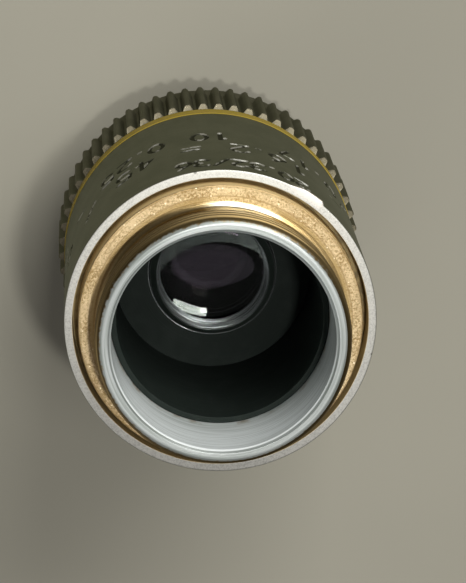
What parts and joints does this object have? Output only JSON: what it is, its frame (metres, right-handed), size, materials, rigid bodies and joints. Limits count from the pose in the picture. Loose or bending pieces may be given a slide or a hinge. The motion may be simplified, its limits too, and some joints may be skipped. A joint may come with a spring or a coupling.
{
  "type": "microscope objective",
  "caption": "Low-power microscope objective: threaded brass mount, plain sleeve, yellow colour band, coarse knurled grip, tapered nose, stacked lens cells inside.",
  "frame": {"origin": "centre of the mounting shoulder, the annular face that meets the nosepiece", "axes": "+Z along the optical axis, towards the microscope tube; the nose points down, and the marked side of the sleeve faces -Y"},
  "size_m": [0.0264, 0.0264, 0.0437],
  "materials": {
    "brass": "turned",
    "satin_plate": "satin",
    "black_anodised": "matte black",
    "black_brass": "blackened",
    "yellow_band": "satin",
    "ring_steel": "turned",
    "crown_glass": "coated",
    "flint_glass": "polished"
  },
  "bodies": {
    "root": {"mount_barrel": "brass", "lens_barrel": "black_brass", "barrel_lock_screws": "ring_steel", "outer_sleeve": "satin_plate", "colour_ring": "yellow_band", "knurled_ring": "satin_plate", "nose_cone": "satin_plate", "stray_light_tube": "black_anodised", "rear_cell": "black_brass", "rear_crown_lens": "crown_glass", "rear_flint_lens": "flint_glass", "rear_retaining_ring": "black_brass", "stop_disc": "black_brass", "spacer_tube": "black_anodised", "parfocal_shim": "ring_steel", "front_cell": "black_brass", "front_crown_lens": "crown_glass", "front_flint_lens": "flint_glass", "front_retaining_ring": "black_brass", "stack_lock_ring": "black_brass"}
  },
  "joints": []
}
